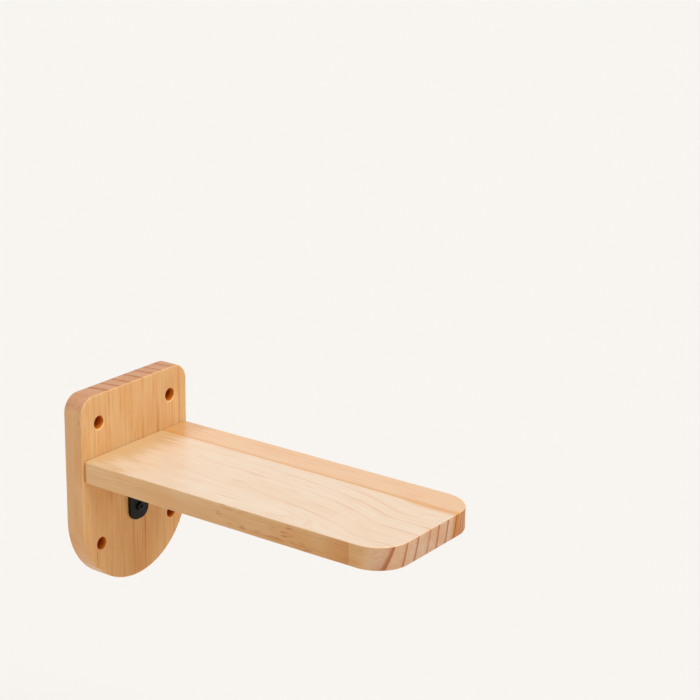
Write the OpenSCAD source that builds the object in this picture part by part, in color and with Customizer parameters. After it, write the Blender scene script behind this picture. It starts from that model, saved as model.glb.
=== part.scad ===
// Cat wall shelf: a pine back plate with a half-round foot carries a pine shelf board.
// The board is doweled and screwed to the plate, and a steel corner bracket stands under it.
// Millimetres. X runs along the wall, Y points into the wall and Z points up.
// The origin is the centre of the four wall screw holes, on the plate's rear face.

/* [Back plate] */
// Width of the back plate, and the diameter of its half-round foot
plate_w = 130; // [116:1:160]
// Height of the back plate, from the foot to the top edge
plate_h = 174.5; // [165:0.5:230]
// Thickness of the back plate
plate_t = 19; // [15:0.5:25]
// Radius of the two top corners
plate_corner_r = 15; // [6:1:30]

/* [Shelf board] */
// Length of the shelf board, from the plate to its free end
shelf_l = 300; // [200:5:450]
// Width of the shelf board
shelf_w = 126; // [110:1:156]
// Thickness of the shelf board
shelf_t = 19; // [15:0.5:25]
// Radius of the two corners at the free end
shelf_corner_r = 28; // [8:1:50]
// Drop from the plate's top edge to the shelf's top face
shelf_drop = 53; // [42:1:64]

/* [Edges] */
// Radius of the rounded edges of both boards
edge_r = 1; // [0.5:0.25:4]
// Width of the small bevel round the shelf's butt end
butt_bevel = 0.5; // [0.2:0.1:1.5]
// Width of the small bevel at the mouth of a screw pocket
mouth_bevel = 0.4; // [0.2:0.1:1]

/* [Wall screw holes] */
// Distance from the plate's side to a wall screw
wall_inset = 21; // [14:0.5:28]
// Drop from the plate's top edge to the upper wall screws
wall_drop = 24.5; // [16:0.5:32]
// Rise from the foot to the lower wall screws
wall_rise = 43; // [36:0.5:52]
// Diameter of the hole for a wall screw
wall_hole_d = 5.5; // [4:0.5:7]
// Diameter of the pocket for the screw's head
pocket_d = 11.5; // [9:0.5:14]
// Wood left between the pocket and the wall
pocket_seat = 10; // [6:0.5:12]

/* [Corner bracket] */
// Length of each leg, from the outside of the bend
bracket_leg = 51; // [40:0.5:70]
// Width of the bracket
bracket_w = 23; // [20:0.5:32]
// Radius of the two corners at the end of a leg
bracket_corner_r = 9.5; // [4:0.5:10]
// Thickness of the steel
bracket_t = 3; // [1.5:0.25:4]
// Inside radius of the bend
bend_r = 3; // [1:0.25:5]
// Distance from the outside of the bend to the near screw of a leg
bracket_near = 17.5; // [12:0.5:19]
// Distance from the end of a leg to its far screw
bracket_end = 11.5; // [8:0.5:12]

/* [Bracket screws] */
// Outside diameter of the thread
pan_d = 4; // [3:0.25:5]
// Length below the head
pan_l = 15; // [10:0.5:16]
// Diameter of the pan head
pan_head_d = 7.6; // [7:0.2:11]
// Height of the pan head
pan_head_h = 2.2; // [2:0.1:4]
// Radius of the pan head's upper edge
pan_edge_r = 1; // [0.5:0.1:1.5]

/* [Rear screws] */
// Outside diameter of the thread
rear_d = 4.5; // [3.5:0.25:6]
// Length over the countersunk head
rear_l = 50; // [40:1:70]
// Diameter of the countersunk head
rear_head_d = 9; // [7.5:0.25:11]
// Depth of the head below the plate's rear face
rear_sink = 0.5; // [0.2:0.1:2]
// Distance from the shelf's side to a rear screw
rear_inset = 38; // [30:1:46]

/* [Screw details] */
// Rise of one turn of thread
thread_pitch = 2; // [1.25:0.25:3]
// Depth of the thread
thread_depth = 0.6; // [0.3:0.1:0.9]
// Length of a screw's point
point_l = 3.5; // [2:0.5:5]
// Width across the cross recess
recess_w = 4.4; // [3:0.1:5]
// Width of one slot of the cross recess
recess_slot = 1.2; // [0.6:0.1:1.8]
// Depth of the cross recess
recess_depth = 1.8; // [1:0.1:2]
// Width of the flat at the bottom of the cross recess
recess_floor = 2; // [1:0.1:2.8]

/* [Dowels] */
// Diameter of a dowel
dowel_d = 8; // [6:0.5:10]
// Length of a dowel
dowel_l = 30; // [24:1:40]
// Length of a dowel inside the plate
dowel_plate = 10; // [6:0.5:12]
// Width of the bevel at a dowel's ends
dowel_bevel = 1; // [0.5:0.25:2]
// Distance from the shelf's side to a dowel
dowel_inset = 16; // [12:1:22]
// Number of flutes round a dowel
flute_count = 12; // [6:1:18]
// Radius of a flute
flute_r = 0.4; // [0.2:0.1:0.6]

/* [Fits] */
// Clearance round a screw or a dowel in its bore
bore_fit = 0.05; // [0.02:0.01:0.2]
// Clearance round a screw in the bracket
bracket_fit = 0.3; // [0.1:0.05:0.5]
// Room at the blind end of a bore
bore_room = 1; // [0.5:0.25:2]

/* [Hidden] */
$fn = 96;

// Overshoot of a cutting shape past the face that it opens
over = 1;

// Colours of the finishes
plate_pine = "#cf9a64";
shelf_pine = "#e3bd90";
dowel_beech = "#c99b6b";
black_coat = "#202222";
zinc_plate = "#b9bcbf";

// Places of the wall screws, the rear screws and the dowels along the wall
wall_x = plate_w / 2 - wall_inset;
rear_x = shelf_w / 2 - rear_inset;
dowel_x = shelf_w / 2 - dowel_inset;

// Heights of the wall screws, the plate and the shelf
wall_z = (plate_h - wall_drop - wall_rise) / 2;
plate_top = wall_z + wall_drop;
foot_r = plate_w / 2;
foot_z = plate_top - plate_h + foot_r;
shelf_top = plate_top - shelf_drop;
shelf_mid = shelf_top - shelf_t / 2;
shelf_under = shelf_top - shelf_t;
pocket_depth = plate_t - pocket_seat;

// Place of the bracket's far screws and of its corners along a leg, from the outside of the bend
screw_far = bracket_leg - bracket_end;
leg_flat = bracket_leg - bracket_corner_r;
corner_x = bracket_w / 2 - bracket_corner_r;
bend_out = bend_r + bracket_t;
pan_bite = pan_l - bracket_t;

// Board section: thickness t from y = 0 up, width w, all four edges rounded by r
module board_section(w, t, r) {
    translate([-w / 2, r]) square([w, t - 2 * r]);
    translate([-w / 2 + r, 0]) square([w - 2 * r, t]);
    for (x = [-w / 2 + r, w / 2 - r], y = [r, t - r]) translate([x, y]) circle(r);
}

// Half of a rim's section: thickness t from y = 0 up, from the axis out to radius rim
module rim_section(rim, t, r) {
    square([rim - r, t]);
    translate([0, r]) square([rim, t - 2 * r]);
    for (y = [r, t - r]) translate([rim - r, y]) circle(r);
}

// Edge strip's section: height h from y = 0 up, thickness t from x = 0, two upper edges rounded by r
module strip_section(h, t, r) {
    square([t, h - r]);
    translate([r, 0]) square([t - 2 * r, h]);
    for (x = [r, t - r]) translate([x, h - r]) circle(r);
}

// Board standing on z = 0, thickness t along y: length l, its two upper corners rounded by corner
module board(w, l, t, corner, r) {
    side = w / 2 - corner;
    linear_extrude(l - corner) board_section(w, t, r);
    translate([-side, 0, l - corner])
        rotate([90, 0, 90]) linear_extrude(2 * side) strip_section(corner, t, r);
    for (turn = [0, 90])
        translate([turn == 0 ? side : -side, t, l - corner])
            rotate([90, -turn, 0]) rotate_extrude(angle = 90) rim_section(corner, t, r);
}

// Half-round foot below z = 0, thickness t along y
module round_foot(radius, t, r) {
    translate([0, t, 0]) rotate([90, 180, 0]) rotate_extrude(angle = 180) rim_section(radius, t, r);
}

// Places of the four wall screws
module at_wall_screws() {
    for (x = [-wall_x, wall_x], z = [-wall_z, wall_z]) translate([x, 0, z]) children();
}

// Hole of one wall screw with its head pocket, along y through the plate
module wall_hole() {
    rotate([90, 0, 0]) {
        translate([0, 0, -over]) cylinder(d = wall_hole_d, h = plate_t + 2 * over);
        translate([0, 0, pocket_seat]) cylinder(d = pocket_d, h = pocket_depth + over);
        translate([0, 0, plate_t - mouth_bevel])
            cylinder(d1 = pocket_d, d2 = pocket_d + 2 * mouth_bevel, h = mouth_bevel);
    }
}

// Bevels along the four edges of the shelf's butt end, which lies on z = 0
module butt_bevels() {
    side = butt_bevel * sqrt(2);
    for (x = [-shelf_w / 2, shelf_w / 2])
        translate([x, shelf_t / 2, 0])
            rotate([0, 45, 0]) cube([side, shelf_t + 2 * over, side], center = true);
    for (y = [0, shelf_t])
        translate([0, y, 0])
            rotate([45, 0, 0]) cube([shelf_w + 2 * over, side, side], center = true);
}

// Threaded stem of a screw: its top at z = 0, its point down at z = -l
module threaded_stem(d, l) {
    turns = floor((l - point_l) / thread_pitch);
    plain = l - point_l - turns * thread_pitch;
    core = d / 2 - thread_depth;
    rotate_extrude() polygon(concat(
        [[0, 0], [core, 0]],
        [for (turn = [0:turns - 1], half = [0, 1])
            [core + half * thread_depth, -plain - (turn + half / 2) * thread_pitch]],
        [[core, point_l - l], [0, -l]]
    ));
}

// Cross recess that opens upwards at z = 0
module cross_recess() {
    translate([0, 0, -recess_depth]) intersection() {
        cylinder(d1 = recess_floor, d2 = recess_w, h = recess_depth);
        for (turn = [0, 90])
            rotate([0, 0, turn]) translate([-recess_w, -recess_slot / 2, 0])
                cube([2 * recess_w, recess_slot, recess_depth]);
    }
    for (turn = [0, 90])
        rotate([0, 0, turn]) translate([-recess_w / 2, -recess_slot / 2, 0])
            cube([recess_w, recess_slot, over]);
}

// Pan-head screw: the head sits on z = 0 and the stem points down
module pan_screw() {
    head_r = pan_head_d / 2;
    threaded_stem(pan_d, pan_l);
    difference() {
        rotate_extrude() {
            square([head_r, pan_head_h - pan_edge_r]);
            square([head_r - pan_edge_r, pan_head_h]);
            translate([head_r - pan_edge_r, pan_head_h - pan_edge_r]) circle(pan_edge_r);
        }
        translate([0, 0, pan_head_h]) cross_recess();
    }
}

// Countersunk screw: the head's flat top lies on z = 0 and the stem points down
module countersunk_screw() {
    core = rear_d - 2 * thread_depth;
    head_h = (rear_head_d - core) / 2;
    difference() {
        union() {
            translate([0, 0, -head_h]) cylinder(d1 = core, d2 = rear_head_d, h = head_h);
            translate([0, 0, -head_h]) threaded_stem(rear_d, rear_l - head_h);
        }
        cross_recess();
    }
}

// Bore for a countersunk screw, opening upwards: the screw's top lies rear_sink below z = 0
module countersunk_bore() {
    bore = rear_d + 2 * bore_fit;
    mouth = rear_head_d + 2 * bore_fit;
    cone_h = (mouth - bore) / 2;
    translate([0, 0, -rear_sink]) cylinder(d = mouth, h = rear_sink + over);
    translate([0, 0, -rear_sink - cone_h]) cylinder(d1 = bore, d2 = mouth, h = cone_h);
    translate([0, 0, -rear_sink - rear_l - bore_room]) cylinder(d = bore, h = rear_l + bore_room);
}

// Blind bore for the bite of a bracket screw, going down from z = 0
module pan_bore() {
    depth = pan_bite + bore_room;
    translate([0, 0, -depth]) cylinder(d = pan_d + 2 * bore_fit, h = depth + over);
}

// Place above a rear screw on the plate's rear face, turned so that z points into the wall
module at_rear_screw(side) {
    translate([side * rear_x, 0, shelf_mid]) rotate([-90, 0, 0]) children();
}

// Place of a dowel's end in the plate, turned so that z points out of the wall
module at_dowel(side) {
    translate([side * dowel_x, dowel_plate - plate_t, shelf_mid]) rotate([90, 0, 0]) children();
}

// Bore of a dowel through both boards
module dowel_bore(side) {
    at_dowel(side) translate([0, 0, -bore_room])
        cylinder(d = dowel_d + 2 * bore_fit, h = dowel_l + 2 * bore_room);
}

// Place of a bracket screw in the plate's leg, turned so that z points out of the plate
module at_plate_leg(along) {
    translate([0, -plate_t, shelf_under - along]) rotate([90, 0, 0]) children();
}

// Place of a bracket screw in the shelf's leg, turned so that z points down out of the shelf
module at_shelf_leg(along) {
    translate([0, -plate_t - along, shelf_under]) rotate([180, 0, 0]) children();
}

// Plate with its wall holes and the bores of the joint
module back_plate() {
    color(plate_pine) difference() {
        translate([0, -plate_t, foot_z]) {
            board(plate_w, plate_top - foot_z, plate_t, plate_corner_r, edge_r);
            round_foot(foot_r, plate_t, edge_r);
        }
        at_wall_screws() wall_hole();
        for (side = [-1, 1]) {
            at_rear_screw(side) countersunk_bore();
            dowel_bore(side);
        }
        for (along = [bracket_near, screw_far]) at_plate_leg(along) pan_bore();
    }
}

// Shelf with the bores of the joint
module shelf_board() {
    color(shelf_pine) difference() {
        translate([0, -plate_t, shelf_under]) rotate([90, 0, 0]) difference() {
            board(shelf_w, shelf_l, shelf_t, shelf_corner_r, edge_r);
            butt_bevels();
        }
        for (side = [-1, 1]) {
            at_rear_screw(side) countersunk_bore();
            dowel_bore(side);
        }
        for (along = [bracket_near, screw_far]) at_shelf_leg(along) pan_bore();
    }
}

// One flat leg, lying on z = 0 and running along +y from the bend to its rounded end
module bracket_leg_flat() {
    linear_extrude(bracket_t) difference() {
        union() {
            translate([-bracket_w / 2, bend_out]) square([bracket_w, leg_flat - bend_out]);
            translate([-corner_x, leg_flat]) square([2 * corner_x, bracket_corner_r]);
            for (x = [-corner_x, corner_x]) translate([x, leg_flat]) circle(bracket_corner_r);
        }
        for (along = [bracket_near, screw_far])
            translate([0, along]) circle(d = pan_d + 2 * bracket_fit);
    }
}

// Steel angle in the corner under the shelf
module corner_bracket() {
    color(black_coat) translate([0, -plate_t, shelf_under]) {
        rotate([90, 0, 0]) mirror([0, 1, 0]) bracket_leg_flat();
        mirror([0, 0, 1]) mirror([0, 1, 0]) bracket_leg_flat();
        translate([-bracket_w / 2, -bend_out, -bend_out])
            rotate([90, 0, 90]) rotate_extrude(angle = 90)
                translate([bend_r, 0]) square([bracket_t, bracket_w]);
    }
}

// Screw of the plate's leg, at a distance along it
module bracket_screw_plate(along) {
    color(black_coat) at_plate_leg(along) translate([0, 0, bracket_t]) pan_screw();
}

// Screw of the shelf's leg, at a distance along it
module bracket_screw_shelf(along) {
    color(black_coat) at_shelf_leg(along) translate([0, 0, bracket_t]) pan_screw();
}

// Countersunk screw from the plate's rear into the shelf
module rear_screw(side) {
    color(zinc_plate) at_rear_screw(side) translate([0, 0, -rear_sink]) countersunk_screw();
}

// Fluted dowel between plate and shelf
module dowel(side) {
    color(dowel_beech) at_dowel(side) difference() {
        rotate_extrude() polygon([
            [0, 0], [dowel_d / 2 - dowel_bevel, 0], [dowel_d / 2, dowel_bevel],
            [dowel_d / 2, dowel_l - dowel_bevel], [dowel_d / 2 - dowel_bevel, dowel_l], [0, dowel_l]
        ]);
        for (flute = [1:flute_count])
            rotate([0, 0, flute * 360 / flute_count])
                translate([dowel_d / 2, 0, -over]) cylinder(r = flute_r, h = dowel_l + 2 * over);
    }
}

back_plate();
shelf_board();
corner_bracket();
bracket_screw_plate(bracket_near);  // bracket_screw_plate_upper
bracket_screw_plate(screw_far);  // bracket_screw_plate_lower
bracket_screw_shelf(bracket_near);  // bracket_screw_shelf_inner
bracket_screw_shelf(screw_far);  // bracket_screw_shelf_outer
rear_screw(-1);  // rear_screw_left
rear_screw(1);  // rear_screw_right
dowel(-1);  // dowel_left
dowel(1);  // dowel_right
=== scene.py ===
"""Looks of a pine cat wall shelf: two lacquered boards, a black steel angle and their fasteners.

Boards and angle are built here with eased edges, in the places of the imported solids. Screws and dowels keep
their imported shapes. Sizes are millimetres until a mesh is made: X along the wall, Y into the wall, Z up.
"""

import logging
import math
from collections.abc import Callable
from dataclasses import dataclass, field, replace
from enum import Enum

import bmesh
import bpy
import numpy as np
from mathutils import Matrix, Vector, geometry


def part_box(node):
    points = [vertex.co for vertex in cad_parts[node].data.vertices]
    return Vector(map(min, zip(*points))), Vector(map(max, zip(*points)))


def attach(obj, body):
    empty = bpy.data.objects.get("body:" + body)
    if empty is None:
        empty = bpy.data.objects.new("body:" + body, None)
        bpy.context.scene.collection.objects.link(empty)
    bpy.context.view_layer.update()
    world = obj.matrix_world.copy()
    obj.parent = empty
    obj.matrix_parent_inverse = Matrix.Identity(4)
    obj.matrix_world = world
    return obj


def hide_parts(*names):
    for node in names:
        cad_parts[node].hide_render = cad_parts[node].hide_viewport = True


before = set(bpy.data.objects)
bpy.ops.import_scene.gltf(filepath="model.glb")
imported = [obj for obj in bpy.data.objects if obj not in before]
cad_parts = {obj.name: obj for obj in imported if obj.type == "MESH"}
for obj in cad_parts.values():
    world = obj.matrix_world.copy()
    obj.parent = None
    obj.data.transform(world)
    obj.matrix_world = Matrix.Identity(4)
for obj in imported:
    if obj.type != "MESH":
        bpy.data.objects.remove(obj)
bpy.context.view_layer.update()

LOG = logging.getLogger("wall_shelf")
MM = 0.001
# Flat strip beside each rounded edge, which keeps the shading of the face flat.
LAND = 0.4
# A corner is rounder than its edge by more than the land, or the land would fold over.
CORNER_ROOM = 1.25 * LAND
# Share by which the edges of a board wander, and the lengths of two waves over its plane.
WANDER = 0.06
WAVES = ((17.0, 23.0), (-31.0, 9.0))
BOARD_STEP = 2.0
CIRCLE_POINTS = 48
FEWEST_CORNER_POINTS = 3
# Part of a normal along an axis, or of a hole's radius, that counts as the whole.
WHOLE = 0.999
# Lengths up to these count as none, between points and in a flat net.
NO_LENGTH = 1e-6
NET_GAP = 1e-7
CREASE = math.radians(35)
NO_POINTS = np.empty((0, 2))
SIDES = (-1, 1)
# Range that most of a noise keeps to.
NOISE_RANGE = (0.3, 0.7)
# Numbers of a slab's materials: its faces, its bores, and one that its rim or its mouths may have.
FACE, BORE, EXTRA = 0, 1, 2

Tree = bpy.types.NodeTree
Source = bpy.types.NodeSocket | bpy.types.Node
Place = Callable[[np.ndarray], np.ndarray]
Steps = tuple[tuple[float, float], ...]


def linear(colour: str) -> tuple[float, float, float, float]:
    """Turns an sRGB hex colour into linear light.

    Args:
        colour: Six hex digits after a hash sign.

    Returns:
        Red, green, blue and an alpha of one.
    """
    parts = np.array([int(colour[i : i + 2], 16) for i in (1, 3, 5)]) / 255
    light = np.where(parts <= 0.04045, parts / 12.92, ((parts + 0.055) / 1.055) ** 2.4)
    return (*light.tolist(), 1.0)


def add_node(tree: Tree, kind: str, inputs: tuple | dict = (), **settings: object) -> bpy.types.Node:
    """Adds one node with its settings and links.

    Args:
        tree: Node tree that the node goes into.
        kind: Blender's name of the node type, less the ShaderNode that it starts with.
        inputs: Values of the inputs in use, in their order or by name. A source is linked, and a node stands
            for its first output in use.
        settings: Attributes of the node. "stops" are the places and colours of a ramp, and "points" the
            corners of a curve that runs straight between them.

    Returns:
        The new node.
    """
    node = tree.nodes.new("ShaderNode" + kind)
    for name, value in settings.items():
        if name == "stops":
            ramp = node.color_ramp.elements
            ramp.remove(ramp[1])
            ramp[0].position, ramp[0].color = value[0]
            for place, colour in value[1:]:
                ramp.new(place).color = colour
        elif name == "points":
            curve = node.mapping.curves[0].points
            curve[0].location, curve[1].location = value[0], value[-1]
            for place in value[1:-1]:
                curve.new(*place)
            for point in curve:
                point.handle_type = "VECTOR"
            node.mapping.update()
        else:
            setattr(node, name, value)
    if isinstance(inputs, dict):
        pairs = [(node.inputs[name], value) for name, value in inputs.items()]
    else:
        pairs = zip([socket for socket in node.inputs if socket.enabled], inputs)
    for socket, value in pairs:
        if isinstance(value, bpy.types.Node):
            value = next(output for output in value.outputs if output.enabled)
        if isinstance(value, bpy.types.NodeSocket):
            tree.links.new(value, socket)
        else:
            socket.default_value = value
    return node


def seen(tree: Tree) -> Source:
    """Tells what the camera sees from light on its way to the part.

    Args:
        tree: Tree of the floor or the world.

    Returns:
        One for rays from the camera and its mirror images, and nought for other light.
    """
    path = add_node(tree, "LightPath").outputs
    mirror = (path["Is Glossy Ray"], path["Is Transmission Ray"])
    mirrored = add_node(tree, "Math", mirror, operation="MAXIMUM")
    return add_node(tree, "Math", (path["Is Camera Ray"], mirrored), operation="MAXIMUM")


class Finish:
    """Finish of a surface: each kind of finish adds nodes of its own."""

    name: str

    def surface(self, tree: Tree) -> Source:
        """Adds the nodes of the finish to a material's tree and gives its shader."""
        raise NotImplementedError

    def make(self) -> bpy.types.Material:
        """Makes the material.

        Returns:
            The material, named for the finish.
        """
        material = bpy.data.materials.new(self.name)
        material.use_nodes = True
        material.node_tree.nodes.clear()
        add_node(material.node_tree, "OutputMaterial", {"Surface": self.surface(material.node_tree)})
        return material


class Grain(Enum):
    """Way that a board's fibres run, as the turn that brings them onto Z."""

    UPRIGHT = (0.0, 0.0, 0.0)
    OUTWARD = (math.pi / 2, 0.0, 0.0)


class Lacquer(Enum):
    """Lacquer on the wood, as the weight of the film and the gloss of the wood itself.

    The shelf's broad faces carry a full film. Its sanded rim and the plate soak it up.
    """

    FILM = (0.6, 0.5)
    SOAKED = (0.1, 0.2)


@dataclass(frozen=True)
class Tone:
    """Early-wood and late-wood colour of one kind of cut through the board."""

    early: str
    late: str


@dataclass(frozen=True)
class Streaks:
    """Cloudy streaks along the fibres: their width, their length and their finer levels.

    The limits are the values of the noise at which a streak begins and at which it is full.
    """

    width: float
    length: float
    detail: float
    limits: tuple[float, float] = NOISE_RANGE

    def draw(self, tree: Tree, place: Source) -> Source:
        """Draws the streaks: noise over places that are shrunk by the size of a streak.

        Args:
            tree: Tree of the material.
            place: Millimetres across, through and along the fibres.

        Returns:
            Values about a half.
        """
        scale = (1 / self.width, 1 / self.width, 1 / self.length)
        size = add_node(tree, "Mapping", {"Vector": place, "Scale": scale})
        return add_node(tree, "TexNoise", {"Vector": size, "Scale": 1.0, "Detail": self.detail})

    def amount(self, tree: Tree, place: Source, beside: float = 0.0, inside: float = 1.0) -> Source:
        """Draws the streaks as an amount that grows from beside a streak to inside it.

        Args:
            tree: Tree of the material.
            place: Millimetres across, through and along the fibres.
            beside: Amount beside the streaks.
            inside: Amount in a full streak.

        Returns:
            The amount.
        """
        return add_node(tree, "MapRange", (self.draw(tree, place), *self.limits, beside, inside))


# Slow wobble of the fibres, the fibres, breaks in the ring lines, pauses of growth and drifts of shade.
WOBBLES = Streaks(40.0, 170.0, 2.0)
THREADS = Streaks(1.6, 70.0, 4.0)
BREAKS = Streaks(9.0, 50.0, 3.0, (0.4, 0.62))
PAUSES = Streaks(1.5, 220.0, 1.0, (0.57, 0.7))
DRIFTS = Streaks(30.0, 90.0, 2.0)
# Real dashes are 0.3 mm wide and real canals 0.2 mm: these are as fine as the render shows.
DASHES = Streaks(1.2, 26.0, 2.0)
CANALS = Streaks(0.9, 9.0, 0.0, (0.61, 0.7))
# Drifts that the canals gather in, and the ragged edge of the painted shade by the joint.
GATHERINGS = Streaks(7.0, 30.0, 1.0, (0.46, 0.56))
RAGS = Streaks(3.0, 40.0, 3.0)
# Shades of the fibres, the drifts and the dashes, by the value of their noise.
THREAD_SHADES = ((0.32, "#f8e7d1"), (0.5, "#fdf9f3"), (0.68, "#ffffff"))
DRIFT_SHADES = ((0.35, "#fbecd9"), (0.5, "#ffffff"), (0.66, "#fcf0e2"))
DASH_SHADES = ((0.55, "#ffffff"), (0.72, "#f8e6d2"))

# Darkness of late wood over one ring, from its inner side to its outer one.
SEASONS = ((0.0, 0.7), (0.03, 0.0), (0.6, 0.03), (0.82, 0.25), (0.91, 1.0), (0.985, 1.0), (1.0, 0.7))
# How much sharper a ring's line is on a broad face than at a cut end.
THINNING = 2.0
# Strength that a ring's line keeps where it breaks.
FAINTEST = 0.15
# Weight of the shade of fibres and drifts.
FIBRE_SHADE = 0.8
# Roughness that open pores add to a cut end, and height of late wood over the fibres.
END_ROUGHNESS = 0.3
LATE_RELIEF = 0.6
# Part of the normal through the board where a broad face starts and is full, and a narrow one likewise.
BROAD_FROM = (0.4, 0.95)
NARROW_FROM = (0.65, 0.2)


@dataclass(frozen=True)
class Sweep:
    """Bend of the fibres: from its start on the rings drift sideways and level out over a fading length.

    Two pairs of places across the board say where the bend grows to its full reach and where it ends. The
    start is softened, and over a stretch behind it the ring lines weaken to what is left of them.
    """

    reach: float
    start: float
    fading: float
    from_side: tuple[float, float]
    to_side: tuple[float, float]
    soft: float = 12.0
    weaker: tuple[float, float] = (40.0, 170.0)
    left: float = 0.4


@dataclass(frozen=True)
class Border:
    """Ring where the wide rings give way to dense wood: tint of the band along it and tint beyond it.

    The edges say where the band begins, is full, is still full and has given way, counted from the ring.
    """

    ring: float
    line: str
    beyond: str
    edges: tuple[float, float, float, float] = (-7.0, -1.5, 2.6, 4.0)


@dataclass(frozen=True)
class Resin:
    """Resin canals: how dark they are, and the middle and half length of the stretch where they gather.

    The stretch fades at its ends. Lacquer hides most of them on broad faces, and pores show at cut ends.
    """

    strength: float
    middle: float
    reach: float
    fade: float = 15.0
    hidden: float = 0.95
    pores: float = 0.4
    tint: str = "#a2501e"


@dataclass(frozen=True)
class Pitch:
    """Streak of pitch: its middle and how far it fades, across the board and along it, and its tint."""

    across: float
    half_width: float
    along: float
    half_length: float
    tint: str


@dataclass(frozen=True)
class Sanding:
    """Corner that was sanded again, from its start on: a darker run of the long edge leads up to it. The run
    is partly a darker patch of the wood and partly painted shade for a slight kink where the corner begins.

    A warm tint darkens the long edge more and more, from a place near its other end up to the corner.
    """

    start: float
    run: float = 26.0
    strength: float = 0.8
    tint: str = "#f0d8b8"
    edge_darkening_from: float = -40.0
    edge_darkening: str = "#f1e5d8"


@dataclass(frozen=True)
class Joint:
    """Painted shade where another board meets this one: a ragged band on the broad faces and a dark seam.

    The band is painted shade and painted reflection of the other board; the seam is painted contact shadow.
    Band and seam each have a place where they begin and one where they are full, counted from the joint.
    """

    place: float
    # Band of painted shade and painted reflection of the other board; the seam is painted contact shadow.
    pool: tuple[float, float] = (-15.0, 14.0)
    ragged: float = 50.0
    shade_band_tint: str = "#e4d6b4"
    seam: tuple[float, float] = (-0.9, -0.3)
    seam_strength: float = 0.8
    seam_tint: str = "#a07040"


@dataclass(frozen=True)
class Cut:
    """What the steps of one pine material share: its tree, the place in the wood and the kind of cut.

    The place is in millimetres across, through and along the fibres. The radius is the distance from the
    pith, as a share from the innermost ring to the outermost. Broad and end are shares of broad face and
    of cut end.
    """

    tree: Tree
    place: Source
    across: Source
    along: Source
    radius: Source
    broad: Source
    end: Source


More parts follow.
